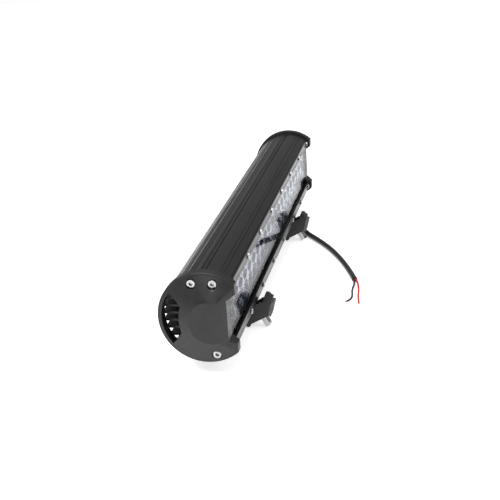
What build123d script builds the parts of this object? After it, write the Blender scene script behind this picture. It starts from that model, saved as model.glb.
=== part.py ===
from build123d import *
import math
import os

# Round-backed LED light bar with two tilting feet.  Millimetres.
# X runs along the bar, the lens faces -Y, +Z is up.  Sections are drawn about the
# bar's own axis and every piece is lifted by AXIS_HEIGHT when it is written.

# ---- main sizes -------------------------------------------------------------
RIM_SPAN = 508.0          # over the outer faces of the two cap rims
BODY_DIAMETER = 86.8      # round housing
MODULES = 7               # reflector modules in a row
LEDS_PER_ROW = 3          # per module, in each of the two rows

# ---- housing section, drawn for an 86.8 mm body and scaled with it -------------
SCALE = BODY_DIAMETER / 86.8
BODY_RADIUS = BODY_DIAMETER / 2
FACE_DEPTH = 26.0 * SCALE         # axis to the bezel face
BEZEL_THICK = 3.0                 # bezel strip, also how far the lens is sunk
SEAT_DEPTH = FACE_DEPTH - BEZEL_THICK
OPENING_HALF = 25.2 * SCALE       # half height of the lens opening
LENS_LAP = 2.6                    # lens held behind the bezel
LENS_THICK = 3.0
SEAL_THICK = 1.0
FIT_GAP = 0.2                     # loose clearance round held pieces
BOARD_FACE = 2.0                  # LED board face behind the axis
BOARD_THICK = 1.6
PAD_THICK = 0.5
WALL = 3.5
CAVITY_DEPTH = 10.5               # driver room behind the LED wall
CAVITY_HALF = 22.5 * SCALE
FIN_PITCH = 7.5 * SCALE
FIN_GAP = 5.1 * SCALE
FIN_SLOTS = 8
SLOT_MOUTH = 8.3                  # T-slot under the bar
SLOT_LIP = 2.9
SLOT_WIDTH = 12.8
SLOT_HEIGHT = 3.7
BAND_DEPTH = 0.8                  # shallow band along the top
GROOVE_WIDTH = 1.5
GROOVE_DEPTH = 0.9
GROOVES = ((50, 1.0), (58, 1.0), (71, 1.0), (108.5, 0.45), (113.5, 0.45), (124, 0.35))
FLUTES = (64.5, 77.5)
FLUTE_RADIUS = 6.0
FLUTE_DEPTH = 0.55

# ---- end caps ---------------------------------------------------------------
CAP_OVERHANG = 2.4
RIM_THICK = 10.0
GASKET_THICK = 1.0
DOME_HEIGHT = 11.0
DOME_DISC = 21.0 * SCALE
DOME_SHIFT = 8.0 * SCALE
DOME_INSET = 1.3
RIM_ROUND = 1.2
NOSE_DEPTH = 30.3 * SCALE
NOTCH_OUTER = 25.0 * SCALE
NOTCH_INNER = 20.5 * SCALE
FACET_DEPTH = 16.0 * SCALE        # where the slanted facet leaves the disc
FACET_HEIGHT = 10.3
WINDOW_RADIUS = 41.5 * SCALE
WINDOW = ((32.1, 26.4), (21.0, 14.5), (22.6, 7.0), (23.2, 0.0))

# ---- fasteners ---------------------------------------------------------------
CAP_SCREW = 4.5
CAP_SCREW_HEAD = 7.8
CAP_SCREW_HEAD_HEIGHT = 4.5
CAP_SCREW_GRIP = 16.0             # shank length inside the housing
COUNTERBORE = 9.3
BORE_FLOOR = 8.0                  # cap metal left under a screw head
PORT_Y = 10.15 * SCALE
PORT_Z = 35.8 * SCALE
HOLE_GAP = 0.05                   # radial, round shanks
BEZEL_SCREW = 3.0
BEZEL_SCREW_HEAD = 5.6
BEZEL_SCREW_HEIGHT = 1.8
BEZEL_SCREW_GRIP = 8.0
BEZEL_SCREW_Z = 30.2 * SCALE

# ---- feet ---------------------------------------------------------------------
FOOT_X = 0.252 * RIM_SPAN         # each foot from mid-length
SLIDE_GAP = 0.3                   # saddle and slot nut to the housing
SADDLE_THICK = 2.5
SADDLE_FRONT = 11.0
SADDLE_BACK = 20.0
EAR_THICK = 5.0
EAR_RADIUS = 10.8
ARM_WIDTH = 15.0
RIB_THICK = 2.2
KNUCKLE_RADIUS = 9.5
PIVOT_Y = 10.0
PIVOT_BOLT = 6.0
PIVOT_HEAD = 10.0                 # across flats
MOVE_GAP = 0.3
WING_REACH = 0.8456 * BODY_RADIUS  # axis to the foot of the upright wing
WING_RISE = 6.1                   # above the pivot
WING_LEAN = 15.0
WING_THIN = 4.5
WING = ((0, -2), (0, 17), (-2.2, 17), (-4.9, 19), (-8.7, 18.7), (-9, 12), (-4.5, 9.5), (-4.5, 2), (-3.4, 0.5),
        (-3.4, -2))
STRIP_THICK = 3.6
STRIP_RISE = 3.4                  # strip's low end above the floor
LIP_RADIUS = 2.8
LIP_RISE = 1.6
LIP_Y = 14.5
PAD_DEPTH = 3.2
PAD_LOW = -1.7
PAD_HIGH = 13.5
PAD_RIBS = 4
FIXING_HOLE = 6.5
FOOT_BOLT = 5.0
FOOT_BOLT_Y = 30.4 / 43.4 * BODY_RADIUS
FOOT_HEAD = 8.0                   # across flats
FOOT_HEAD_LIFT = 0.1              # lowest corner above the floor
FOOT_NUT_HEIGHT = 4.0
WASHER_THICK = 1.2
SADDLE_SCREW = 4.0

# ---- cable ----------------------------------------------------------------------
GLAND_X = 0.3504 * RIM_SPAN
GLAND_Y = -4.0
GLAND_THREAD = 12.0
GLAND_HEX = 16.0
ELBOW_DROP = 12.6                 # spot face down to the nozzle axis
NOZZLE = (-0.7525, -0.6586)       # way the nozzle points, seen from above
NOZZLE_REACH = 11.2
GLAND_NUT_RADIUS = 7.4
GLAND_NUT_END = 17.0
CORD_DIAMETER = 6.8
WIRE_DIAMETER = 2.4
WIRE_OFFSET = 1.5

# ---- derived ---------------------------------------------------------------------
RIM_FACE = RIM_SPAN / 2
CAP_SEAT = RIM_FACE - RIM_THICK
HOUSING_HALF = CAP_SEAT - GASKET_THICK
CAP_RADIUS = BODY_RADIUS + CAP_OVERHANG
MODULE_LENGTH = (2 * HOUSING_HALF - 10.0) / MODULES
LED_PITCH = MODULE_LENGTH / LEDS_PER_ROW
ROW_Z = 11.5 * SCALE
LENS_HALF = OPENING_HALF + LENS_LAP
POCKET_FLOOR = BOARD_FACE + BOARD_THICK + PAD_THICK
CAVITY_FRONT = POCKET_FLOOR + WALL
CAVITY_BACK = CAVITY_FRONT + CAVITY_DEPTH
FIN_ROOT = CAVITY_BACK + WALL
DRIVER_FACE = CAVITY_FRONT + 2.0
SADDLE_INNER = BODY_RADIUS + SLIDE_GAP
SADDLE_OUTER = SADDLE_INNER + SADDLE_THICK
ARM_CLEAR = SADDLE_OUTER + MOVE_GAP
PIVOT_Z = -(SADDLE_OUTER + MOVE_GAP + KNUCKLE_RADIUS)
AXIS_HEIGHT = EAR_RADIUS - PIVOT_Z
FLOOR_Z = -AXIS_HEIGHT
EAR_INNER = ARM_WIDTH / 2 + MOVE_GAP
EAR_OUTER = EAR_INNER + EAR_THICK
SADDLE_SCREW_X = EAR_OUTER + 3.6
SADDLE_HALF = SADDLE_SCREW_X + 4.4
SPOT_Z = -(BODY_RADIUS - 1.0)
NOZZLE_Z = SPOT_Z - ELBOW_DROP
SLOT_ROOF = -(BODY_RADIUS - SLOT_LIP - SLOT_HEIGHT)


def span(y0, y1, z0, z1):
    """Rectangle in the bar's section."""
    return Pos((y0 + y1) / 2, (z0 + z1) / 2) * Rectangle(y1 - y0, z1 - z0)


def prism(section, x0, x1):
    """Section pushed along X from x0 to x1."""
    return extrude(Plane.YZ.offset(x0) * section, amount=x1 - x0, dir=(1, 0, 0))


def block(x0, x1, y0, y1, z0, z1):
    return prism(span(y0, y1, z0, z1), x0, x1)


def rod(start, way, radius, length):
    """Round bar from a point along a direction."""
    return Plane(origin=start, z_dir=way).location * Pos(0, 0, length / 2) * Cylinder(radius, length)


def hex_rod(start, way, flats, length):
    base = RegularPolygon(flats / math.sqrt(3), 6)
    return Plane(origin=start, z_dir=way).location * extrude(base, amount=length)


def socket_screw(start, way, head, height, shank, length, key):
    """Screw whose head bottom sits at start; way points out of the head."""
    back = tuple(-v for v in way)
    screw = rod(start, way, head / 2, height) + rod(start, back, shank / 2, length)
    top = tuple(s + w * height * 0.45 for s, w in zip(start, way))
    return screw - hex_rod(top, way, key, height)


def mirrored_pair(shape):
    return shape, mirror(shape, about=Plane.YZ)


def group(shapes):
    return Compound([solid for shape in shapes for solid in shape.solids()])


# ---- housing -------------------------------------------------------------------
def screw_ports():
    return [(y * PORT_Y, z * PORT_Z) for y in (1, -1) for z in (1, -1)]


def housing_section():
    body = Circle(BODY_RADIUS) & span(-SEAT_DEPTH, BODY_RADIUS + 1, -BODY_RADIUS, BODY_RADIUS)
    rebate = LENS_HALF + FIT_GAP
    ledge = -SEAT_DEPTH + LENS_THICK + SEAL_THICK
    body -= span(-SEAT_DEPTH - 1, ledge, -rebate, rebate)
    body -= span(ledge - 1, POCKET_FLOOR, -OPENING_HALF, OPENING_HALF)
    body -= span(CAVITY_FRONT, CAVITY_BACK, -CAVITY_HALF, CAVITY_HALF)
    guide = CAVITY_HALF + 1.6
    body -= span(DRIVER_FACE, DRIVER_FACE + BOARD_THICK + 0.1, -guide, guide)
    for index in range(FIN_SLOTS):
        z = (index - (FIN_SLOTS - 1) / 2) * FIN_PITCH
        body -= span(FIN_ROOT, BODY_RADIUS + 1, z - FIN_GAP / 2, z + FIN_GAP / 2)
    for side in (1, -1):
        low, high = sorted((side * 27.8 * SCALE, side * 32.2 * SCALE))
        body -= span(-9 * SCALE, CAVITY_BACK, low, high)
    for y, z in screw_ports():
        body -= Pos(y, z) * Circle(CAP_SCREW / 2 + HOLE_GAP)
    lip = -(BODY_RADIUS - SLOT_LIP)
    body -= span(-SLOT_MOUTH / 2, SLOT_MOUTH / 2, -BODY_RADIUS - 1, lip)
    body -= span(-SLOT_WIDTH / 2, SLOT_WIDTH / 2, lip, SLOT_ROOF)
    body -= span(-SLOT_MOUTH / 2, SLOT_MOUTH / 2, BODY_RADIUS - BAND_DEPTH, BODY_RADIUS + 1)
    vee = Polygon((0.4, GROOVE_WIDTH * 0.7), (-GROOVE_DEPTH, 0), (0.4, -GROOVE_WIDTH * 0.7), align=None)
    flute = Circle(FLUTE_RADIUS)
    for side in (1, -1):
        for angle, share in GROOVES:
            body -= Rot(0, 0, side * angle) * Pos(BODY_RADIUS + (1 - share) * GROOVE_DEPTH, 0) * vee
        for angle in FLUTES:
            body -= Rot(0, 0, side * angle) * Pos(BODY_RADIUS + FLUTE_RADIUS - FLUTE_DEPTH, 0) * flute
    body -= Rot(0, 0, 90) * Pos(BODY_RADIUS - BAND_DEPTH, 0) * vee
    return body


def bezel_screw_places():
    return [(index - MODULES / 2) * MODULE_LENGTH for index in range(MODULES + 1)]


def link_hole():
    return rod((60.0, BOARD_FACE + BOARD_THICK, 0), (0, 1, 0), 4.0, PAD_THICK + WALL + 1)


def make_housing():
    body = prism(housing_section(), -HOUSING_HALF, HOUSING_HALF)
    for x in bezel_screw_places():
        for z in (BEZEL_SCREW_Z, -BEZEL_SCREW_Z):
            body -= rod((x, -SEAT_DEPTH, z), (0, 1, 0), BEZEL_SCREW / 2 + HOLE_GAP, BEZEL_SCREW_GRIP + 0.5)
    body -= rod((GLAND_X, GLAND_Y, SPOT_Z), (0, 0, -1), 11.0, 5)
    body -= rod((GLAND_X, GLAND_Y, SPOT_Z - 1), (0, 0, 1), GLAND_THREAD / 2 + HOLE_GAP, 15)
    body -= rod((GLAND_X, CAVITY_BACK - 4.5, -CAVITY_HALF + 1), (0, 0, -1), 3.4, 8)
    return body - link_hole()


def make_bezel():
    strip = Circle(BODY_RADIUS) & span(-FACE_DEPTH, -SEAT_DEPTH, OPENING_HALF, BODY_RADIUS)
    corner = strip.vertices().group_by(Axis.X)[0].sort_by(Axis.Y)[-1]
    strip = fillet(corner, radius=1.6)
    bar = prism(strip, -HOUSING_HALF, HOUSING_HALF)
    for x in bezel_screw_places():
        bar -= rod((x, -FACE_DEPTH - 1, BEZEL_SCREW_Z), (0, 1, 0), BEZEL_SCREW / 2 + HOLE_GAP, 10)
    return bar


def make_bezel_screws():
    screws = []
    for x in bezel_screw_places():
        screws.append(socket_screw((x, -FACE_DEPTH, BEZEL_SCREW_Z), (0, -1, 0), BEZEL_SCREW_HEAD,
                                   BEZEL_SCREW_HEIGHT, BEZEL_SCREW, BEZEL_THICK + BEZEL_SCREW_GRIP, 2.5))
    return group(screws)


def make_lens():
    half = HOUSING_HALF - FIT_GAP
    return block(-half, half, -SEAT_DEPTH, -SEAT_DEPTH + LENS_THICK, -LENS_HALF, LENS_HALF)


def make_lens_seal():
    half = HOUSING_HALF - FIT_GAP
    front = -SEAT_DEPTH + LENS_THICK
    ring = block(-half, half, front, front + SEAL_THICK, -LENS_HALF, LENS_HALF)
    inner = OPENING_HALF
    return ring - block(-half + 3, half - 3, front - 1, front + 2, -inner, inner)


# ---- light engine ----------------------------------------------------------------
def led_places():
    return [((index - (LEDS_PER_ROW - 1) / 2) * LED_PITCH, z)
            for index in range(LEDS_PER_ROW) for z in (ROW_Z, -ROW_Z)]


def cup(x, z, front):
    """Eight-sided stepped reflector cup, open at both ends."""
    mouth = min(LED_PITCH, 2 * ROW_Z) * 0.52
    depth = BOARD_FACE - front
    steps = ((-0.02, 1.0), (0.3, 0.88), (0.65, 0.64), (1.02, 0.3))
    faces = []
    for along, size in steps:
        plane = Plane.XZ.offset(-(front + along * depth))
        faces.append((plane * Pos(x, z) * Rot(0, 0, 22.5) * RegularPolygon(mouth * size, 8)).face())
    return loft(faces, ruled=True)


def make_reflector():
    front = -SEAT_DEPTH + LENS_THICK + SEAL_THICK + 0.5
    half = MODULE_LENGTH / 2 - 0.15
    body = block(-half, half, front, BOARD_FACE, -OPENING_HALF + 0.4, OPENING_HALF - 0.4)
    for x, z in led_places():
        body -= cup(x, z, front)
    return body


def make_led_board():
    half = MODULES * MODULE_LENGTH / 2
    return block(-half, half, BOARD_FACE, BOARD_FACE + BOARD_THICK, -OPENING_HALF + 0.6, OPENING_HALF - 0.6)


def make_thermal_pad():
    half = MODULES * MODULE_LENGTH / 2
    y = BOARD_FACE + BOARD_THICK
    pad = block(-half, half, y, y + PAD_THICK, -OPENING_HALF + 0.6, OPENING_HALF - 0.6)
    return pad - link_hole()


def make_emitters():
    chips = []
    for module in range(MODULES):
        centre = (module - (MODULES - 1) / 2) * MODULE_LENGTH
        for x, z in led_places():
            base = Pos(centre + x, BOARD_FACE - 0.3, z) * Box(3.4, 0.6, 3.4)
            dome = Pos(centre + x, BOARD_FACE - 0.6, z) * Sphere(1.4)
            dome &= Pos(centre + x, BOARD_FACE - 2.6, z) * Box(4, 4, 4)
            chips.append(base + dome)
    return group(chips)


def make_driver_board():
    half = CAVITY_HALF + 1.4
    return block(GLAND_X - 240, GLAND_X + 30, DRIVER_FACE, DRIVER_FACE + BOARD_THICK, -half, half)


def make_driver_chips():
    back = DRIVER_FACE + BOARD_THICK
    terminal = block(GLAND_X - 7, GLAND_X + 7, back, back + 5.6, -17, -7)
    shapes = [terminal]
    for step in range(4):
        x = GLAND_X - 60 - 42 * step
        shapes.append(block(x - 5, x + 5, back, back + 2.4, -15, -5))
    return group(shapes)


def make_driver_coils():
    back = DRIVER_FACE + BOARD_THICK
    shapes = []
    for step in range(4):
        x = GLAND_X - 40 - 42 * step
        coil = rod((x, back, 9), (0, 1, 0), 6.0, 5.0)
        shapes.append(coil - rod((x, back + 3.5, 9), (0, 1, 0), 2.4, 3.0))
    return group(shapes)


def make_driver_caps():
    back = DRIVER_FACE + BOARD_THICK
    cans = [rod((GLAND_X - 20 - 42 * step, back, 8), (0, 1, 0), 4.0, 5.8) for step in range(4)]
    return group(cans)


def make_board_link():
    y = BOARD_FACE + BOARD_THICK
    return rod((60.0, y, 0), (0, 1, 0), 2.2, DRIVER_FACE - y)


# ---- end caps ---------------------------------------------------------------------
def cap_outline():
    disc = Circle(CAP_RADIUS) & span(-NOSE_DEPTH, CAP_RADIUS + 1, -CAP_RADIUS, CAP_RADIUS)
    far = -NOSE_DEPTH - 5
    notch = Polygon((far, NOTCH_OUTER), (-NOSE_DEPTH, NOTCH_OUTER), (-SEAT_DEPTH, NOTCH_INNER),
                    (-SEAT_DEPTH, -NOTCH_INNER), (-NOSE_DEPTH, -NOTCH_OUTER), (far, -NOTCH_OUTER),
                    align=None)
    return disc - notch


def cap_window():
    upper = [(y * SCALE, z * SCALE) for y, z in WINDOW]
    lower = [(y, -z) for y, z in reversed(upper[:-1])]
    tall = WINDOW[0][1] * SCALE
    shape = Polygon(*upper, *lower, (60 * SCALE, -tall), (60 * SCALE, tall), align=None)
    return Circle(WINDOW_RADIUS) & shape


def cap_screw_places():
    return [(PORT_Y, PORT_Z), (-PORT_Y, PORT_Z), (-PORT_Y, -PORT_Z)]


def make_cap(vented):
    outline = cap_outline()
    rim = prism(outline, CAP_SEAT, RIM_FACE)
    outer = rim.edges().filter_by(GeomType.CIRCLE).filter_by_position(Axis.X, RIM_FACE - 0.01, RIM_FACE + 0.01)
    rim = fillet(outer, radius=RIM_ROUND)
    base = (Plane.YZ.offset(RIM_FACE) * Circle(CAP_RADIUS - DOME_INSET)).face()
    disc = (Plane.YZ.offset(RIM_FACE + DOME_HEIGHT) * Pos(-DOME_SHIFT, 0) * Circle(DOME_DISC)).face()
    dome = loft([base, disc], ruled=True) & prism(outline, RIM_FACE, RIM_FACE + 20)
    slope = (NOSE_DEPTH - FACET_DEPTH) / FACET_HEIGHT
    rise = DOME_HEIGHT + 1
    facet = Polygon((RIM_FACE, -NOSE_DEPTH), (RIM_FACE + rise, -NOSE_DEPTH + rise * slope),
                    (RIM_FACE + 30, -NOSE_DEPTH + rise * slope), (RIM_FACE + 30, -100),
                    (RIM_FACE, -100), align=None)
    dome -= Pos(0, 0, -100) * extrude(facet, amount=200, dir=(0, 0, 1))
    cap = rim + dome
    cap -= prism(cap_window(), CAP_SEAT - 1, RIM_FACE + 20)
    recess = span(CAVITY_FRONT, CAVITY_BACK, -CAVITY_HALF + 1, CAVITY_HALF - 1)
    cap -= prism(recess, CAP_SEAT, CAP_SEAT + 5)
    for y, z in cap_screw_places():
        cap -= rod((CAP_SEAT - 1, y, z), (1, 0, 0), CAP_SCREW / 2 + HOLE_GAP, 20)
        cap -= rod((CAP_SEAT + BORE_FLOOR, y, z), (1, 0, 0), COUNTERBORE / 2, 20)
    if vented:
        cap -= rod((CAP_SEAT - 1, -4, 0), (1, 0, 0), 3.0 + HOLE_GAP, 40)
    return cap


def make_gasket(vented):
    shape = Circle(BODY_RADIUS - 0.3) & span(-FACE_DEPTH, BODY_RADIUS, -BODY_RADIUS, BODY_RADIUS)
    shape = (shape & cap_outline()) - cap_window()
    for y, z in cap_screw_places():
        shape -= Pos(y, z) * Circle(CAP_SCREW / 2 + HOLE_GAP)
    if vented:
        shape -= Pos(-4, 0) * Circle(3.0 + HOLE_GAP)
    return prism(shape, HOUSING_HALF, CAP_SEAT)


def make_cap_screws():
    screws = []
    seat = CAP_SEAT + BORE_FLOOR
    for y, z in cap_screw_places():
        screws.append(socket_screw((seat, y, z), (1, 0, 0), CAP_SCREW_HEAD, CAP_SCREW_HEAD_HEIGHT,
                                   CAP_SCREW, seat - HOUSING_HALF + CAP_SCREW_GRIP, 3.8))
    return group(screws)


def make_vent():
    face = RIM_FACE + DOME_HEIGHT
    plug = rod((face, -4, 0), (1, 0, 0), 6.0, 2.2)
    plug += rod((face, -4, 0), (-1, 0, 0), 3.0, 10.0)
    for angle in range(0, 180, 60):
        slit = Pos(face + 2.2, -4, 0) * Rot(angle, 0, 0) * Box(1.2, 14, 1.2)
        plug -= slit
    return plug


# ---- feet: every piece is built at mid-length, then moved to its place --------------
def make_slot_nut():
    low = -(BODY_RADIUS - SLOT_LIP) + FIT_GAP
    nut = block(-SADDLE_HALF, SADDLE_HALF, -SLOT_WIDTH / 2 + FIT_GAP, SLOT_WIDTH / 2 - FIT_GAP,
                low, SLOT_ROOF - FIT_GAP)
    for x in (SADDLE_SCREW_X, -SADDLE_SCREW_X):
        nut -= rod((x, 0, low - 1), (0, 0, 1), SADDLE_SCREW / 2 + HOLE_GAP, 8)
    return nut


def make_carrier():
    ring = Circle(SADDLE_OUTER) - Circle(SADDLE_INNER)
    saddle = ring & span(-SADDLE_FRONT, SADDLE_BACK, -BODY_RADIUS - 10, -10)
    tongue = span(-SLOT_MOUTH / 2 + SLIDE_GAP, SLOT_MOUTH / 2 - SLIDE_GAP,
                  -SADDLE_OUTER + 0.5, -(BODY_RADIUS - SLOT_LIP) + FIT_GAP)
    carrier = prism(saddle + tongue, -SADDLE_HALF, SADDLE_HALF)
    back = PIVOT_Y + EAR_RADIUS
    front = PIVOT_Y - EAR_RADIUS
    cheek = Polygon((-SADDLE_FRONT + 2, -SADDLE_INNER + 3), (back - 0.8, -SADDLE_INNER + 8),
                    (back, PIVOT_Z), (front, PIVOT_Z), align=None)
    ear = (cheek + Pos(PIVOT_Y, PIVOT_Z) * Circle(EAR_RADIUS)) - Circle(SADDLE_INNER)
    carrier += prism(ear, EAR_INNER, EAR_OUTER)
    carrier += prism(ear, -EAR_OUTER, -EAR_INNER)
    carrier -= rod((-EAR_OUTER - 1, PIVOT_Y, PIVOT_Z), (1, 0, 0), PIVOT_BOLT / 2 + HOLE_GAP, 2 * EAR_OUTER + 2)
    for x in (SADDLE_SCREW_X, -SADDLE_SCREW_X):
        carrier -= rod((x, 0, -SADDLE_OUTER - 1), (0, 0, 1), SADDLE_SCREW / 2 + HOLE_GAP, 12)
        carrier -= rod((x, 0, -SADDLE_OUTER + 0.2), (0, 0, -1), 3.6, 5)
    return carrier


def make_carrier_screws():
    seat = -SADDLE_OUTER + 0.2
    length = SLOT_ROOF - FIT_GAP - seat
    screws = [socket_screw((x, 0, seat), (0, 0, -1), 6.8, 2.6, SADDLE_SCREW, length, 2.5)
              for x in (SADDLE_SCREW_X, -SADDLE_SCREW_X)]
    return group(screws)


def strip_frame():
    """Low rear point of the base strip, and its forward and downward directions."""
    start = (-LIP_Y, FLOOR_Z + STRIP_RISE)
    end = wing_point(0, WING[0][1])
    run = math.dist(start, end)
    along = ((end[0] - start[0]) / run, (end[1] - start[1]) / run)
    return start, along, (-along[1], along[0])


def foot_bolt_seat():
    """Point where the foot bolt leaves the underside of the strip."""
    start, along, down = strip_frame()
    return -FOOT_BOLT_Y, start[1] + (FOOT_BOLT_Y - LIP_Y) * -along[1] / along[0]


def wing_axes():
    """Outward and upward directions of the leaning wing, in the section."""
    lean = math.radians(WING_LEAN)
    return (-math.cos(lean), -math.sin(lean)), (-math.sin(lean), math.cos(lean))


def wing_point(out, up):
    """Section point measured from the foot of the wing's front face."""
    ahead, above = wing_axes()
    return (-WING_REACH + out * ahead[0] + up * above[0],
            PIVOT_Z + WING_RISE + out * ahead[1] + up * above[1])


def fixing_hole(out, length):
    """Cutter for the fixing bolt, starting at a depth in front of the wing's face."""
    y, z = wing_point(out, (PAD_LOW + PAD_HIGH) / 2)
    ahead = wing_axes()[0]
    return rod((0, y, z), (0, -ahead[0], -ahead[1]), FIXING_HOLE / 2, length)


def make_arm():
    half = ARM_WIDTH / 2
    start, along, down = strip_frame()
    back = (-down[0] * STRIP_THICK, -down[1] * STRIP_THICK)
    low_front = wing_point(0, WING[0][1])
    strip = Polygon(start, low_front, wing_point(0, 3), (low_front[0] - 3 * along[0] + back[0],
                    low_front[1] - 3 * along[1] + back[1]), (start[0] + back[0], start[1] + back[1]),
                    align=None)
    wing = Polygon(*[wing_point(out, up) for out, up in WING], align=None)
    lip = Pos(-LIP_Y, FLOOR_Z + LIP_RISE + LIP_RADIUS) * Circle(LIP_RADIUS)
    rib = Polygon((PIVOT_Y, -BODY_RADIUS), (-27 * SCALE, -37 * SCALE), wing_point(-8, 12), wing_point(-1, 12),
                  wing_point(-1, -1), (-LIP_Y, FLOOR_Z + 5.5), (-LIP_Y + 4.5, FLOOR_Z + 6.6),
                  (2, FLOOR_Z + 6.6), (PIVOT_Y, PIVOT_Z - KNUCKLE_RADIUS + 0.3), align=None)
    rib -= Circle(ARM_CLEAR)
    knuckle = Pos(PIVOT_Y, PIVOT_Z) * Circle(KNUCKLE_RADIUS)
    arm = prism(strip, -half, half) + prism(wing, -half, half) + prism(lip, -half, half)
    arm += prism(knuckle, -half, half)
    for x0, x1 in ((half - RIB_THICK, half), (-half, -half + RIB_THICK)):
        arm += prism(rib, x0, x1)
    arm -= rod((-half - 1, PIVOT_Y, PIVOT_Z), (1, 0, 0), PIVOT_BOLT / 2 + HOLE_GAP, ARM_WIDTH + 2)
    arm -= fixing_hole(1, WING_THIN + 2)
    seat = foot_bolt_seat()
    deep = (0, -down[0], -down[1])
    return arm - rod((0, seat[0] + down[0], seat[1] + down[1]), deep, FOOT_BOLT / 2 + HOLE_GAP, STRIP_THICK + 2)


def make_foot_pad():
    half = ARM_WIDTH / 2
    corners = ((0, PAD_LOW), (PAD_DEPTH, PAD_LOW), (PAD_DEPTH, PAD_HIGH), (0, PAD_HIGH))
    section = Polygon(*[wing_point(out, up) for out, up in corners], align=None)
    pitch = (PAD_HIGH - PAD_LOW) / PAD_RIBS
    for index in range(1, PAD_RIBS):
        up = PAD_LOW + index * pitch
        groove = ((PAD_DEPTH - 0.9, up - 0.5), (PAD_DEPTH + 1, up - 0.7), (PAD_DEPTH + 1, up + 0.7),
                  (PAD_DEPTH - 0.9, up + 0.5))
        section -= Polygon(*[wing_point(out, rise) for out, rise in groove], align=None)
    return prism(section, -half, half) - fixing_hole(PAD_DEPTH + 1, PAD_DEPTH + 2)


def make_pivot_bolt():
    head = -EAR_OUTER - WASHER_THICK
    bolt = hex_rod((head, PIVOT_Y, PIVOT_Z), (-1, 0, 0), PIVOT_HEAD, 4.0)
    return bolt + rod((head, PIVOT_Y, PIVOT_Z), (1, 0, 0), PIVOT_BOLT / 2, 2 * (EAR_OUTER + WASHER_THICK) + 6.2)


def make_pivot_nut():
    start = EAR_OUTER + WASHER_THICK
    nut = hex_rod((start, PIVOT_Y, PIVOT_Z), (1, 0, 0), PIVOT_HEAD, 5.0)
    return nut - rod((start - 1, PIVOT_Y, PIVOT_Z), (1, 0, 0), PIVOT_BOLT / 2 + HOLE_GAP, 8)


def washer(start, way, outer, bore):
    ring = rod(start, way, outer / 2, WASHER_THICK)
    before = tuple(s - w for s, w in zip(start, way))
    return ring - rod(before, way, bore / 2 + HOLE_GAP, WASHER_THICK + 2)


def make_pivot_washers():
    return group([washer((EAR_OUTER, PIVOT_Y, PIVOT_Z), (1, 0, 0), 12.0, PIVOT_BOLT),
                  washer((-EAR_OUTER, PIVOT_Y, PIVOT_Z), (-1, 0, 0), 12.0, PIVOT_BOLT)])


def foot_bolt_axis():
    start, along, down = strip_frame()
    seat = foot_bolt_seat()
    return (0, seat[0], seat[1]), (0, down[0], down[1])


def shifted(point, way, distance):
    return tuple(p + w * distance for p, w in zip(point, way))


def make_foot_washer():
    seat, down = foot_bolt_axis()
    return washer(seat, down, 10.5, FOOT_BOLT)


def make_foot_bolt():
    seat, down = foot_bolt_axis()
    up = tuple(-v for v in down)
    under = shifted(seat, down, WASHER_THICK)
    length = WASHER_THICK + STRIP_THICK + FOOT_NUT_HEIGHT + 1.2
    corner = FOOT_HEAD / math.sqrt(3) * abs(down[1])
    height = (under[2] - corner - FLOOR_Z - FOOT_HEAD_LIFT) / abs(down[2])
    return hex_rod(under, down, FOOT_HEAD, height) + rod(under, up, FOOT_BOLT / 2, length)


def make_foot_nut():
    seat, down = foot_bolt_axis()
    up = tuple(-v for v in down)
    top = shifted(seat, up, STRIP_THICK)
    nut = hex_rod(top, up, FOOT_HEAD, FOOT_NUT_HEIGHT)
    return nut - rod(shifted(top, down, 1), up, FOOT_BOLT / 2 + HOLE_GAP, FOOT_NUT_HEIGHT + 2)


# ---- cable ---------------------------------------------------------------------------
def nozzle_point(reach):
    return (GLAND_X + NOZZLE[0] * reach, GLAND_Y + NOZZLE[1] * reach, NOZZLE_Z)


def make_gland_seal():
    return washer((GLAND_X, GLAND_Y, SPOT_Z), (0, 0, -1), 18.0, GLAND_THREAD)


def make_gland():
    way = (NOZZLE[0], NOZZLE[1], 0)
    top = SPOT_Z - WASHER_THICK
    body = hex_rod((GLAND_X, GLAND_Y, top), (0, 0, -1), GLAND_HEX, 4.5)
    body += rod((GLAND_X, GLAND_Y, top), (0, 0, 1), GLAND_THREAD / 2, 10.5)
    body += rod((GLAND_X, GLAND_Y, top), (0, 0, -1), 6.2, top - NOZZLE_Z)
    body += Pos(GLAND_X, GLAND_Y, NOZZLE_Z) * Sphere(6.2)
    body += rod(nozzle_point(0), way, 6.2, 9.0)
    body += rod(nozzle_point(0), way, 5.2, NOZZLE_REACH)
    body -= rod((GLAND_X, GLAND_Y, NOZZLE_Z), (0, 0, 1), 3.0, 30)
    return body - rod(nozzle_point(-2), way, 2.6, 30)


def make_gland_nut():
    way = (NOZZLE[0], NOZZLE[1], 0)
    nut = rod(nozzle_point(9.0), way, GLAND_NUT_RADIUS, GLAND_NUT_END - 9.0)
    nut = chamfer(nut.edges().sort_by(Axis(nozzle_point(0), way))[-1], length=1.6)
    for turn in range(8):
        angle = math.radians(45 * turn)
        side = (-way[1] * math.cos(angle), way[0] * math.cos(angle), math.sin(angle))
        nut -= rod(shifted(nozzle_point(8.0), side, GLAND_NUT_RADIUS + 0.5), way, 1.0, 5.5)
    nut -= rod(nozzle_point(8.0), way, 5.2 + HOLE_GAP, NOZZLE_REACH - 8.0)
    return nut - rod(nozzle_point(8.0), way, CORD_DIAMETER / 2 + HOLE_GAP, 12)


def tube(points, diameter):
    """Round cord along straight runs joined by tangent arcs."""
    corners = [Vector(*p) for p in points]
    radii = []
    for before, corner, after in zip(corners, corners[1:], corners[2:]):
        turn = math.radians((corner - before).get_angle(after - corner))
        shorter = min((corner - before).length, (after - corner).length)
        radii.append(0.45 * shorter / math.tan(turn / 2))
    path = FilletPolyline(*points, radius=radii)
    start = Plane(origin=path @ 0, z_dir=path % 0)
    return sweep(start * Circle(diameter / 2), path=path)


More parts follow.
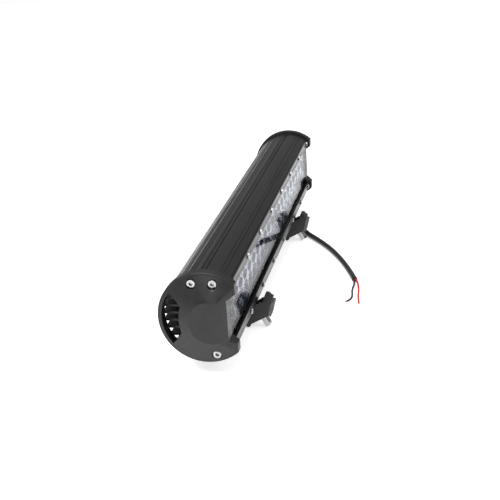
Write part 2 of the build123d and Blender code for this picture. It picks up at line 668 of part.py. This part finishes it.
def cord_route():
    floor = FLOOR_Z + CORD_DIAMETER / 2
    exit_x, exit_y, exit_z = nozzle_point(NOZZLE_REACH)
    bend_x, bend_y, bend_z = nozzle_point(27.0)
    lay = ((-35.5, -33.5), (-56.0, -49.4), (-84.8, -68.8), (-121.5, -87.2), (-157.7, -101.6), (-183.0, -110.1))
    route = [(exit_x, exit_y, exit_z), (bend_x, bend_y, bend_z)]
    return route + [(GLAND_X + x, GLAND_Y + y, floor) for x, y in lay]


def wire_start(side, length):
    """First two points of a wire leaving the cut end of the jacket."""
    before, end = cord_route()[-2:]
    run = math.dist(before, end)
    way = ((end[0] - before[0]) / run, (end[1] - before[1]) / run)
    first = (end[0] - way[1] * WIRE_OFFSET * side, end[1] + way[0] * WIRE_OFFSET * side, end[2])
    return [first, (first[0] + way[0] * length, first[1] + way[1] * length, end[2])]


def wire_route(side, length, lay):
    floor = FLOOR_Z + WIRE_DIAMETER / 2
    return wire_start(side, length) + [(GLAND_X + x, GLAND_Y + y, floor) for x, y in lay]


def make_red_wire():
    route = wire_route(1, 9.0, ((-207.5, -117.0), (-225.5, -117.9), (-243.0, -120.4)))
    return tube(route, WIRE_DIAMETER)


def make_black_wire():
    route = wire_route(-1, 8.0, ((-208.0, -109.2), (-224.5, -111.4), (-233.4, -110.9), (-238.8, -107.2)))
    return tube(route, WIRE_DIAMETER)


def make_lead_pair():
    high = -28.9 * SCALE - 1.1
    back = CAVITY_BACK - 4.5
    leads = []
    for x in (GLAND_X - 1.6, GLAND_X + 1.6):
        start = (x, GLAND_Y, SPOT_Z + 3)
        points = [start, (x, GLAND_Y, high), (x, back, high), (x, back, -17.0)]
        path = FilletPolyline(*points, radius=2.4)
        leads.append(sweep(Plane(origin=path @ 0, z_dir=path % 0) * Circle(0.9), path=path))
    return group(leads)


# ---- assembly -----------------------------------------------------------------------
def build():
    nodes = {}
    nodes["housing"] = make_housing()
    bezel = make_bezel()
    screws = make_bezel_screws()
    nodes["bezel_strip_top"] = bezel
    nodes["bezel_strip_bottom"] = mirror(bezel, about=Plane.XY)
    nodes["bezel_screws_top"] = screws
    nodes["bezel_screws_bottom"] = mirror(screws, about=Plane.XY)
    nodes["lens"] = make_lens()
    nodes["lens_seal"] = make_lens_seal()
    reflector = make_reflector()
    for index in range(MODULES):
        place = (index - (MODULES - 1) / 2) * MODULE_LENGTH
        nodes[f"reflector_{index + 1}"] = Pos(place, 0, 0) * reflector
    nodes["led_board"] = make_led_board()
    nodes["led_emitters"] = make_emitters()
    nodes["thermal_pad"] = make_thermal_pad()
    nodes["driver_board"] = make_driver_board()
    nodes["driver_chips"] = make_driver_chips()
    nodes["driver_coils"] = make_driver_coils()
    nodes["driver_capacitors"] = make_driver_caps()
    nodes["board_link"] = make_board_link()
    nodes["lead_pair"] = make_lead_pair()
    nodes["end_cap_right"] = make_cap(True)
    nodes["end_cap_left"] = mirror(make_cap(False), about=Plane.YZ)
    nodes["cap_gasket_right"] = make_gasket(True)
    nodes["cap_gasket_left"] = mirror(make_gasket(False), about=Plane.YZ)
    nodes["cap_screws_right"], nodes["cap_screws_left"] = mirrored_pair(make_cap_screws())
    nodes["breather_vent"] = make_vent()
    nodes["gland_seal"] = make_gland_seal()
    nodes["cable_gland"] = make_gland()
    nodes["gland_nut"] = make_gland_nut()
    nodes["cord_jacket"] = tube(cord_route(), CORD_DIAMETER)
    nodes["red_wire"] = make_red_wire()
    nodes["black_wire"] = make_black_wire()
    foot = {"slot_nut": make_slot_nut(), "carrier": make_carrier(), "carrier_screws": make_carrier_screws(),
            "arm": make_arm(), "foot_pad": make_foot_pad(), "pivot_bolt": make_pivot_bolt(),
            "pivot_nut": make_pivot_nut(), "pivot_washers": make_pivot_washers(),
            "foot_bolt": make_foot_bolt(), "foot_washer": make_foot_washer(), "foot_nut": make_foot_nut()}
    for name, shape in foot.items():
        nodes[f"{name}_left"] = Pos(-FOOT_X, 0, 0) * shape
        nodes[f"{name}_right"] = Pos(FOOT_X, 0, 0) * shape
    return nodes


os.makedirs("parts", exist_ok=True)
for node_name, node_shape in build().items():
    export_step(Pos(0, 0, AXIS_HEIGHT) * node_shape, f"parts/{node_name}.step")
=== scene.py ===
import math

import bpy
from bpy.props import FloatProperty, FloatVectorProperty, PointerProperty
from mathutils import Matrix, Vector


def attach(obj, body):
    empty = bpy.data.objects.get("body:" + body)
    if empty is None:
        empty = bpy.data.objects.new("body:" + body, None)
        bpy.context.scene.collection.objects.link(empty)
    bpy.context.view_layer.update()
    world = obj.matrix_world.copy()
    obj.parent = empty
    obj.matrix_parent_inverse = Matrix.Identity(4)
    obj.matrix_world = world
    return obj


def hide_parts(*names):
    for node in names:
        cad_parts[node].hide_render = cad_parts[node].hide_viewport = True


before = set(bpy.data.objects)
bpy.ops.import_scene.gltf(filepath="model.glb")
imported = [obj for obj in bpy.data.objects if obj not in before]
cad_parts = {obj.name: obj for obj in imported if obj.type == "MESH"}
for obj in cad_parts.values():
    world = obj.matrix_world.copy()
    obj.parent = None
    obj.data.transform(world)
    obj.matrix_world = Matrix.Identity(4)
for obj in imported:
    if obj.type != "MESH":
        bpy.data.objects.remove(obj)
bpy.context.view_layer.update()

bl_info = {
    "name": "Round-backed light bar",
    "version": (1, 0, 0),
    "blender": (4, 5, 0),
    "location": "View3D > Sidebar > Light Bar",
    "description": "Finishes, edges and cables of a finned light bar on tilting feet",
    "category": "Object",
}

SIDES = ("left", "right")
MERGE_DISTANCE = 0.000002        # metres, joins doubled corners
FLAT_ANGLE = 0.8                 # degrees, flatter faces are joined
SMOOTH_ANGLE = 28.0              # degrees, sharper edges are eased
CAP_FLAT_ANGLE = 0.05
CAP_SMOOTH_ANGLE = 16.0          # keeps the disc's low edge crisp
TRIM_EDGE = 0.0003               # metres, rounding of strips, gland and pads
STRANDS = 7                      # one in the middle and six round it
STRAND_TUCK = 0.0004             # metres, how far strands start inside the wire
FLOOR_SIZE = 14.0
FLOOR_DROP = 0.0003              # metres, keeps the floor off the lowest faces
CAMERA_PLACE = Vector((-1.1077, -0.2345, 0.4750))
CAMERA_AIM = Vector((0, 0, 0.0668))
CAMERA_ROLL = -3.38              # degrees


def colour_prop(name, text, value):
    return FloatVectorProperty(name=name, description=text, subtype="COLOR", size=3,
                               min=0.0, max=1.0, default=value)


def length_prop(name, text, value):
    return FloatProperty(name=name, description=text, subtype="DISTANCE", unit="LENGTH",
                         precision=5, min=0.0, default=value)


class BarFinishes(bpy.types.PropertyGroup):
    housing: colour_prop("Housing", "Anodised colour of the finned housing", (0.007, 0.007, 0.0075))
    caps: colour_prop("End caps", "Powder coat of the two end caps", (0.009, 0.009, 0.0095))
    feet: colour_prop("Feet", "Coating of the carriers and arms", (0.012, 0.012, 0.0125))
    pads: colour_prop("Pads", "Rubber of the ribbed foot pads", (0.085, 0.085, 0.088))
    reflectors: colour_prop("Reflectors", "Vacuum-coated silver of the cups", (0.42, 0.43, 0.46))
    steel: colour_prop("Steel", "Plated screws, bolts and nuts", (0.4, 0.4, 0.41))
    jacket: colour_prop("Cable jacket", "Outer sheath of the cable", (0.012, 0.012, 0.012))
    red: colour_prop("Red wire", "Insulation of the positive wire", (0.42, 0.018, 0.012))


class BarSizes(bpy.types.PropertyGroup):
    jacket_diameter: length_prop("Cable", "Diameter of the cable jacket", 0.0068)
    wire_diameter: length_prop("Wire", "Diameter of one insulated wire", 0.0024)
    strand_diameter: length_prop("Strand", "Diameter of one copper strand", 0.00055)
    bare_length: length_prop("Bare copper", "Copper left showing at a wire's end", 0.0045)
    cap_edge: length_prop("Cap edge", "Rounding of the end cap edges", 0.0005)
    foot_edge: length_prop("Foot edge", "Rounding of the cast feet edges", 0.0005)
    screw_edge: length_prop("Screw edge", "Rounding of screw and bolt edges", 0.00022)


class BarStage(bpy.types.PropertyGroup):
    floor: colour_prop("Floor", "Colour of the plain floor", (0.9, 0.9, 0.9))
    key_power: FloatProperty(name="Key light", description="Power of the large soft light in front",
                             subtype="POWER", unit="POWER", default=15.0)
    top_power: FloatProperty(name="Top light", description="Power of the soft light overhead",
                             subtype="POWER", unit="POWER", default=24.0)
    side_power: FloatProperty(name="Side light", description="Power of the small light over the near cap",
                              subtype="POWER", unit="POWER", default=20.0)
    world_strength: FloatProperty(name="Surround", description="Brightness of the white surround",
                                  min=0.0, default=0.33)


def finishes():
    return bpy.context.scene.bar_finishes


def sizes():
    return bpy.context.scene.bar_sizes


# ---- materials -----------------------------------------------------------------
class Finish:
    """One Principled material whose patterns read Object coordinates."""

    def __init__(self, name, metallic=0.0, **sockets):
        self.material = bpy.data.materials.new(name)
        self.material.use_nodes = True
        self.nodes = self.material.node_tree.nodes
        self.links = self.material.node_tree.links
        self.shader = self.nodes["Principled BSDF"]
        self.shader.inputs["Metallic"].default_value = metallic
        for socket, value in sockets.items():
            self.shader.inputs[socket.replace("_", " ")].default_value = value
        self.place = self.nodes.new("ShaderNodeTexCoord").outputs["Object"]
        self.relief = None

    def noise(self, scale, stretch=(1, 1, 1), detail=4.0, rough=0.5):
        mapping = self.nodes.new("ShaderNodeMapping")
        mapping.inputs["Scale"].default_value = stretch
        self.links.new(self.place, mapping.inputs["Vector"])
        noise = self.nodes.new("ShaderNodeTexNoise")
        noise.inputs["Scale"].default_value = scale
        noise.inputs["Detail"].default_value = detail
        noise.inputs["Roughness"].default_value = rough
        self.links.new(mapping.outputs["Vector"], noise.inputs["Vector"])
        return noise.outputs["Fac"]

    def cells(self, scale):
        cells = self.nodes.new("ShaderNodeTexVoronoi")
        cells.inputs["Scale"].default_value = scale
        self.links.new(self.place, cells.inputs["Vector"])
        return cells.outputs["Distance"]

    def spread(self, value, low, high, into=(0.3, 0.7)):
        ranged = self.nodes.new("ShaderNodeMapRange")
        ranged.inputs["From Min"].default_value = into[0]
        ranged.inputs["From Max"].default_value = into[1]
        ranged.inputs["To Min"].default_value = low
        ranged.inputs["To Max"].default_value = high
        self.links.new(value, ranged.inputs["Value"])
        return ranged.outputs["Result"]

    def colour(self, value, dark, light):
        mix = self.nodes.new("ShaderNodeMix")
        mix.data_type = "RGBA"
        self.links.new(self.spread(value, 0.0, 1.0), mix.inputs["Factor"])
        mix.inputs["A"].default_value = (*dark, 1.0)
        mix.inputs["B"].default_value = (*light, 1.0)
        self.links.new(mix.outputs["Result"], self.shader.inputs["Base Color"])
        return self

    def roughness(self, value, low, high):
        self.links.new(self.spread(value, low, high), self.shader.inputs["Roughness"])
        return self

    def bump(self, value, height, strength=0.5):
        bump = self.nodes.new("ShaderNodeBump")
        bump.inputs["Strength"].default_value = strength
        bump.inputs["Distance"].default_value = height
        self.links.new(value, bump.inputs["Height"])
        if self.relief is not None:
            self.links.new(self.relief, bump.inputs["Normal"])
        self.relief = bump.outputs["Normal"]
        self.links.new(self.relief, self.shader.inputs["Normal"])
        return self


def shade(colour, factor):
    return tuple(min(1.0, channel * factor) for channel in colour)


def powder_coat(name, colour, low=0.34, high=0.5):
    finish = Finish(name, Specular_IOR_Level=0.32)
    cloud = finish.noise(45.0, detail=5.0)
    grain = finish.noise(1500.0, detail=2.0)
    finish.colour(cloud, shade(colour, 0.8), shade(colour, 1.35))
    finish.roughness(finish.noise(160.0), low, high)
    return finish.bump(grain, 0.00006, 0.35).material


def anodised(name, colour):
    finish = Finish(name, metallic=0.1, Specular_IOR_Level=0.25)
    draw = finish.noise(420.0, stretch=(0.012, 1, 1), detail=3.0)
    finish.colour(finish.noise(30.0, stretch=(0.2, 1, 1)), shade(colour, 0.8), shade(colour, 1.5))
    finish.roughness(draw, 0.24, 0.4)
    return finish.bump(draw, 0.00003, 0.3).material


def plated_steel(name, colour, low=0.18, high=0.34):
    finish = Finish(name, metallic=1.0)
    scratch = finish.noise(900.0, stretch=(1, 0.15, 1), detail=3.0)
    finish.colour(finish.noise(220.0), shade(colour, 0.82), shade(colour, 1.1))
    finish.roughness(scratch, low, high)
    return finish.bump(scratch, 0.00002, 0.25).material


def silvered(name, colour):
    finish = Finish(name, metallic=1.0)
    haze = finish.noise(90.0, detail=4.0)
    finish.colour(haze, shade(colour, 0.95), shade(colour, 1.04))
    finish.roughness(haze, 0.07, 0.15)
    return finish.bump(finish.noise(260.0, detail=2.0), 0.00003, 0.2).material


def moulded(name, colour, low=0.4, high=0.6, grain=900.0, height=0.00004):
    finish = Finish(name)
    finish.colour(finish.noise(120.0), shade(colour, 0.85), shade(colour, 1.25))
    finish.roughness(finish.noise(300.0), low, high)
    return finish.bump(finish.noise(grain, detail=3.0), height, 0.35).material


def rubber(name, colour):
    finish = Finish(name)
    finish.colour(finish.noise(150.0), shade(colour, 0.8), shade(colour, 1.25))
    finish.roughness(finish.noise(240.0), 0.6, 0.82)
    return finish.bump(finish.cells(1100.0), 0.00005, 0.4).material


def clear_cover(name):
    finish = Finish(name, Transmission_Weight=1.0, IOR=1.06)
    finish.colour(finish.noise(12.0), (0.68, 0.7, 0.75), (0.74, 0.76, 0.8))
    finish.roughness(finish.noise(50.0), 0.004, 0.02)
    return finish.bump(finish.noise(25.0, detail=1.0), 0.00002, 0.08).material


def circuit_board(name, ground, track):
    finish = Finish(name)
    finish.colour(finish.noise(500.0, detail=0.0), ground, track)
    finish.roughness(finish.noise(180.0), 0.28, 0.45)
    return finish.bump(finish.noise(500.0, detail=0.0), 0.00003, 0.4).material


def copper(name):
    finish = Finish(name, metallic=1.0)
    finish.colour(finish.noise(700.0), (0.62, 0.26, 0.13), (0.83, 0.42, 0.24))
    finish.roughness(finish.noise(900.0), 0.2, 0.38)
    return finish.bump(finish.noise(2500.0), 0.00002, 0.3).material


def plain_floor(name, colour):
    finish = Finish(name, Emission_Color=(1.0, 1.0, 1.0, 1.0), Emission_Strength=0.6)
    finish.colour(finish.noise(3.0), shade(colour, 0.99), shade(colour, 1.01))
    finish.roughness(finish.noise(8.0), 0.7, 0.8)
    return finish.bump(finish.noise(60.0), 0.0001, 0.05).material


def paint(obj, material):
    if not obj.material_slots:
        obj.data.materials.append(material)
    for place in obj.material_slots:
        place.material = material
    return obj


def paint_nodes(material, *names):
    for name in names:
        paint(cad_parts[name], material)


# ---- modelling helpers -----------------------------------------------------------
def deselect_all():
    if bpy.context.object and bpy.context.object.mode != "OBJECT":
        bpy.ops.object.mode_set(mode="OBJECT")
    bpy.ops.object.select_all(action="DESELECT")


def activate(piece):
    deselect_all()
    piece.select_set(True)
    bpy.context.view_layer.objects.active = piece


def rounded(node, width, material, body, angle=SMOOTH_ANGLE, flat=FLAT_ANGLE):
    """Eased-edge copy of a cast or machined CAD piece, shown in its place."""
    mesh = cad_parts[node].data.copy()
    mesh.materials.clear()
    piece = bpy.data.objects.new(f"{node}_eased", mesh)
    bpy.context.scene.collection.objects.link(piece)
    activate(piece)
    bpy.ops.object.mode_set(mode="EDIT")
    bpy.ops.mesh.select_all(action="SELECT")
    bpy.ops.mesh.remove_doubles(threshold=MERGE_DISTANCE)
    bpy.ops.mesh.dissolve_limited(angle_limit=math.radians(flat))
    bpy.ops.object.mode_set(mode="OBJECT")
    ease = piece.modifiers.new("Ease", "BEVEL")
    ease.width = width
    ease.segments = 2
    ease.limit_method = "ANGLE"
    ease.angle_limit = math.radians(angle)
    ease.use_clamp_overlap = True
    bpy.ops.object.modifier_apply(modifier="Ease")
    bpy.ops.object.shade_smooth_by_angle(angle=math.radians(angle))
    paint(piece, material)
    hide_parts(node)
    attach(piece, body)
    return piece


def cable(name, points, diameter, material):
    """Round cable along one smooth spline whose control points are the route."""
    curve = bpy.data.curves.new(name, "CURVE")
    curve.dimensions = "3D"
    curve.bevel_depth = diameter / 2
    curve.bevel_resolution = 6
    curve.resolution_u = 16
    curve.use_fill_caps = True
    spline = curve.splines.new("NURBS")
    spline.points.add(len(points) - 1)
    for point, place in zip(spline.points, points):
        point.co = (*place, 1.0)
    spline.order_u = 3
    spline.use_endpoint_u = True
    piece = bpy.data.objects.new(name, curve)
    bpy.context.scene.collection.objects.link(piece)
    return paint(piece, material)


# ---- cables ----------------------------------------------------------------------
NOZZLE_END = (0.169575, -0.011376, 0.0118)
CABLE_ROUTE = (NOZZLE_END, (0.157686, -0.021782, 0.0118), (0.142503, -0.0375, 0.0034),
               (0.122003, -0.0534, 0.0034), (0.093203, -0.0728, 0.0034), (0.056503, -0.0912, 0.0034),
               (0.020303, -0.1056, 0.0034), (-0.004997, -0.1141, 0.0034))
RED_ROUTE = ((-0.004519, -0.115522, 0.0034), (-0.01305, -0.118388, 0.0034),
             (-0.029497, -0.121, 0.0012),
             (-0.047497, -0.1219, 0.0012), (-0.064997, -0.1244, 0.0012))
BLACK_ROUTE = ((-0.005475, -0.112678, 0.0034), (-0.013058, -0.115226, 0.0034),
               (-0.029997, -0.1132, 0.0012),
               (-0.046497, -0.1154, 0.0012), (-0.055397, -0.1149, 0.0012), (-0.060797, -0.1112, 0.0012))


class LIGHTBAR_OT_cables(bpy.types.Operator):
    """Lays the cable and its two bare-ended wires along their routes"""
    bl_idname = "lightbar.cables"
    bl_label = "Cables"

    def execute(self, context):
        size = sizes()
        jacket = cable("cable_jacket", CABLE_ROUTE, size.jacket_diameter,
                       moulded("jacket_pvc", finishes().jacket, 0.3, 0.45, 700.0))
        red = cable("wire_positive", RED_ROUTE, size.wire_diameter,
                    moulded("wire_pvc_red", finishes().red, 0.25, 0.4, 1600.0, 0.00002))
        black = cable("wire_negative", BLACK_ROUTE, size.wire_diameter,
                      moulded("wire_pvc_black", finishes().jacket, 0.25, 0.4, 1600.0, 0.00002))
        for piece, node, slot in ((jacket, "cord_jacket", "jacket_black"), (red, "red_wire", "wire_red"),
                                  (black, "black_wire", "wire_black")):
            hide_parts(node)
            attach(piece, "bar")
        return {"FINISHED"}


class LIGHTBAR_OT_wire_tips(bpy.types.Operator):
    """Adds the copper strands at the two stripped wire ends"""
    bl_idname = "lightbar.wire_tips"
    bl_label = "Bare wire tips"

    def strand(self, centre, way, side, length):
        deselect_all()
        turn = way.to_track_quat("Z", "Y")
        offset = turn @ side
        bpy.ops.mesh.primitive_cylinder_add(vertices=8, radius=sizes().strand_diameter / 2, depth=length,
                                            location=centre + way * length / 2 + offset,
                                            rotation=turn.to_euler())
        piece = bpy.context.object
        bpy.ops.object.mode_set(mode="EDIT")
        bpy.ops.mesh.select_all(action="SELECT")
        bpy.ops.mesh.subdivide(number_cuts=2)
        bpy.ops.object.mode_set(mode="OBJECT")
        bpy.ops.object.transform_apply(location=True, rotation=True, scale=True)
        return piece

    def execute(self, context):
        metal = copper("copper_strand")
        pitch = sizes().strand_diameter * 1.02
        for name, route in (("positive", RED_ROUTE), ("negative", BLACK_ROUTE)):
            end = Vector(route[-1])
            way = (end - Vector(route[-2])).normalized()
            strands = []
            for index in range(STRANDS):
                angle = math.radians(360 / (STRANDS - 1) * index)
                side = Vector((math.cos(angle), math.sin(angle), 0)) * (pitch if index else 0.0)
                length = sizes().bare_length * (1.0 - 0.05 * (index % 3))
                strands.append(self.strand(end - way * STRAND_TUCK, way, side, length))
            deselect_all()
            for piece in strands:
                piece.select_set(True)
            bpy.context.view_layer.objects.active = strands[0]
            bpy.ops.object.join()
            tip = bpy.context.object
            tip.name = f"copper_tip_{name}"
            bpy.ops.object.shade_smooth_by_angle(angle=math.radians(40))
            paint(tip, metal)
            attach(tip, "bar")
        return {"FINISHED"}


# ---- housing, caps and light engine -------------------------------------------------
class LIGHTBAR_OT_housing(bpy.types.Operator):
    """Finishes the finned housing and the two bezel strips"""
    bl_idname = "lightbar.housing"
    bl_label = "Housing"

    def execute(self, context):
        paint_nodes(anodised("black_anodised", finishes().housing), "housing")
        strip = anodised("bezel_anodised", shade(finishes().housing, 0.9))
        for edge in ("top", "bottom"):
            rounded(f"bezel_strip_{edge}", TRIM_EDGE, strip, "bar")
        return {"FINISHED"}


class LIGHTBAR_OT_end_caps(bpy.types.Operator):
    """Eases and coats the two domed end caps and their gaskets"""
    bl_idname = "lightbar.end_caps"
    bl_label = "End caps"

    def execute(self, context):
        coat = powder_coat("cap_powder_coat", finishes().caps)
        gasket = rubber("gasket_rubber", (0.016, 0.016, 0.016))
        for side in SIDES:
            rounded(f"end_cap_{side}", sizes().cap_edge, coat, "bar",
                    angle=CAP_SMOOTH_ANGLE, flat=CAP_FLAT_ANGLE)
            paint_nodes(gasket, f"cap_gasket_{side}")
        paint_nodes(moulded("vent_plastic", (0.02, 0.02, 0.02)), "breather_vent")
        return {"FINISHED"}


class LIGHTBAR_OT_light_engine(bpy.types.Operator):
    """Finishes the cover, reflector cups, emitters and boards"""
    bl_idname = "lightbar.light_engine"
    bl_label = "Light engine"

    def execute(self, context):
        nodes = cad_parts
        paint_nodes(clear_cover("clear_cover"), "lens")
        paint_nodes(silvered("silver_cups", finishes().reflectors),
                    *[name for name in nodes if name.startswith("reflector_")])
        paint_nodes(rubber("seal_rubber", (0.02, 0.02, 0.02)), "lens_seal")
        paint_nodes(moulded("phosphor", (0.9, 0.7, 0.18), 0.3, 0.45), "led_emitters")
        paint_nodes(circuit_board("white_board", (0.75, 0.75, 0.72), (0.82, 0.82, 0.8)), "led_board")
        paint_nodes(circuit_board("green_board", (0.01, 0.08, 0.03), (0.02, 0.14, 0.05)), "driver_board")
        paint_nodes(rubber("thermal_sheet", (0.3, 0.3, 0.32)), "thermal_pad")
        paint_nodes(moulded("component_epoxy", (0.02, 0.02, 0.02)), "driver_chips", "driver_coils",
                    "driver_capacitors", "board_link")
        paint_nodes(moulded("lead_pvc", finishes().red), "lead_pair")
        return {"FINISHED"}


class LIGHTBAR_OT_fasteners(bpy.types.Operator):
    """Eases and plates the cap screws and bezel screws"""
    bl_idname = "lightbar.fasteners"
    bl_label = "Fasteners"

    def execute(self, context):
        plate = plated_steel("screw_plating", finishes().steel)
        for side in SIDES:
            rounded(f"cap_screws_{side}", sizes().screw_edge, plate, "bar")
        for edge in ("top", "bottom"):
            rounded(f"bezel_screws_{edge}", sizes().screw_edge, plate, "bar")
        return {"FINISHED"}


class LIGHTBAR_OT_gland(bpy.types.Operator):
    """Finishes the elbow gland, its nut and its seal"""
    bl_idname = "lightbar.gland"
    bl_label = "Cable gland"

    def execute(self, context):
        nylon = moulded("gland_nylon", (0.02, 0.02, 0.021), 0.32, 0.48)
        rounded("cable_gland", TRIM_EDGE, nylon, "bar")
        rounded("gland_nut", TRIM_EDGE, nylon, "bar")
        paint_nodes(rubber("gland_rubber", (0.014, 0.014, 0.014)), "gland_seal")
        return {"FINISHED"}


class LIGHTBAR_OT_feet(bpy.types.Operator):
    """Eases and finishes the two sliding, tilting feet"""
    bl_idname = "lightbar.feet"
    bl_label = "Feet"

    def execute(self, context):
        coat = powder_coat("foot_powder_coat", finishes().feet, 0.3, 0.46)
        pad = rubber("foot_rubber", finishes().pads)
        # painted highlight: the exposed foot bolts, nuts and washers get the plating colour 1.1 times
        # lighter, besides a shinier finish
        highlit_steel = plated_steel("shiny_steel_painted_highlight", shade(finishes().steel, 1.1), 0.14, 0.28)
        # painted shade: the slot nuts under the bar get the plating colour 0.8 times darker, besides a
        # duller finish
        nut = plated_steel("dull_steel_painted_shade", shade(finishes().steel, 0.8), 0.3, 0.45)
        edge = sizes().foot_edge
        for side in SIDES:
            carrier, arm = f"carrier_{side}_body", f"arm_{side}_body"
            rounded(f"carrier_{side}", edge, coat, carrier)
            rounded(f"arm_{side}", edge, coat, arm)
            rounded(f"foot_pad_{side}", TRIM_EDGE, pad, arm)
            for name in ("foot_bolt", "foot_nut", "foot_washer"):
                rounded(f"{name}_{side}", sizes().screw_edge, highlit_steel, arm)
            for name in ("pivot_bolt", "pivot_nut", "pivot_washers", "carrier_screws"):
                rounded(f"{name}_{side}", sizes().screw_edge, highlit_steel, carrier)
            paint_nodes(nut, f"slot_nut_{side}")
        return {"FINISHED"}


# ---- stage -------------------------------------------------------------------------
def soft_light(name, place, target, power, width):
    data = bpy.data.lights.new(name, "AREA")
    data.energy = power
    data.size = width
    light = bpy.data.objects.new(name, data)
    light.location = place
    light.rotation_mode = "QUATERNION"
    light.rotation_quaternion = (Vector(target) - Vector(place)).to_track_quat("-Z", "Y")
    bpy.context.scene.collection.objects.link(light)


class LIGHTBAR_OT_stage(bpy.types.Operator):
    """Sets the plain floor, the soft lights and the camera"""
    bl_idname = "lightbar.stage"
    bl_label = "Stage"

    def execute(self, context):
        scene = context.scene
        stage = scene.bar_stage
        deselect_all()
        bpy.ops.mesh.primitive_plane_add(size=FLOOR_SIZE, location=(0, 0, -FLOOR_DROP))
        floor = context.object
        floor.name = "floor"
        bpy.ops.object.transform_apply(location=True, rotation=True, scale=True)
        paint(floor, plain_floor("floor_paint", stage.floor))
        world = bpy.data.worlds.new("white_surround")
        world.use_nodes = True
        world.node_tree.nodes["Background"].inputs["Color"].default_value = (1, 1, 1, 1)
        world.node_tree.nodes["Background"].inputs["Strength"].default_value = stage.world_strength
        scene.world = world
        scene.view_settings.view_transform = "Standard"
        soft_light("key", (-0.9, -1.3, 1.3), (0, 0, 0.07), stage.key_power, 1.1)
        soft_light("top", (0.2, 0.2, 1.7), (0, 0, 0.07), stage.top_power, 1.4)
        soft_light("side", (-1.3, 0.3, 1.3), (-0.25, 0, 0.08), stage.side_power, 0.5)
        self.camera(scene)
        return {"FINISHED"}

    def camera(self, scene):
        data = bpy.data.cameras.new("camera")
        data.lens = 74.8
        data.sensor_width = 36.0
        data.shift_x = -0.0111
        data.shift_y = -0.0499
        data.clip_start = 0.05
        camera = bpy.data.objects.new("camera", data)
        camera.location = CAMERA_PLACE
        camera.rotation_mode = "QUATERNION"
        camera.rotation_quaternion = (CAMERA_AIM - CAMERA_PLACE).to_track_quat("-Z", "Y")
        camera.rotation_mode = "XYZ"
        camera.rotation_euler.rotate_axis("Z", math.radians(CAMERA_ROLL))
        scene.collection.objects.link(camera)
        scene.camera = camera


class LIGHTBAR_PT_panel(bpy.types.Panel):
    """Lists the light bar's pieces, finishes and sizes"""
    bl_idname = "LIGHTBAR_PT_panel"
    bl_label = "Light Bar"
    bl_space_type = "VIEW_3D"
    bl_region_type = "UI"
    bl_category = "Light Bar"

    def draw(self, context):
        for operator in OPERATORS:
            self.layout.operator(operator.bl_idname)
        for group in (context.scene.bar_finishes, context.scene.bar_sizes, context.scene.bar_stage):
            box = self.layout.box()
            for name in group.__annotations__:
                box.prop(group, name)


GROUPS = (("bar_finishes", BarFinishes), ("bar_sizes", BarSizes), ("bar_stage", BarStage))
OPERATORS = (LIGHTBAR_OT_stage, LIGHTBAR_OT_cables, LIGHTBAR_OT_wire_tips, LIGHTBAR_OT_housing,
             LIGHTBAR_OT_end_caps, LIGHTBAR_OT_light_engine, LIGHTBAR_OT_fasteners, LIGHTBAR_OT_gland,
             LIGHTBAR_OT_feet)


def register():
    for name, group in GROUPS:
        bpy.utils.register_class(group)
        setattr(bpy.types.Scene, name, PointerProperty(type=group))
    for operator in OPERATORS:
        bpy.utils.register_class(operator)
    bpy.utils.register_class(LIGHTBAR_PT_panel)


def unregister():
    bpy.utils.unregister_class(LIGHTBAR_PT_panel)
    for operator in reversed(OPERATORS):
        bpy.utils.unregister_class(operator)
    for name, group in reversed(GROUPS):
        delattr(bpy.types.Scene, name)
        bpy.utils.unregister_class(group)


def main():
    register()
    bpy.ops.lightbar.stage()
    bpy.ops.lightbar.cables()
    bpy.ops.lightbar.wire_tips()
    bpy.ops.lightbar.housing()
    bpy.ops.lightbar.end_caps()
    bpy.ops.lightbar.light_engine()
    bpy.ops.lightbar.fasteners()
    bpy.ops.lightbar.gland()
    bpy.ops.lightbar.feet()


if __name__ == "__main__":
    main()
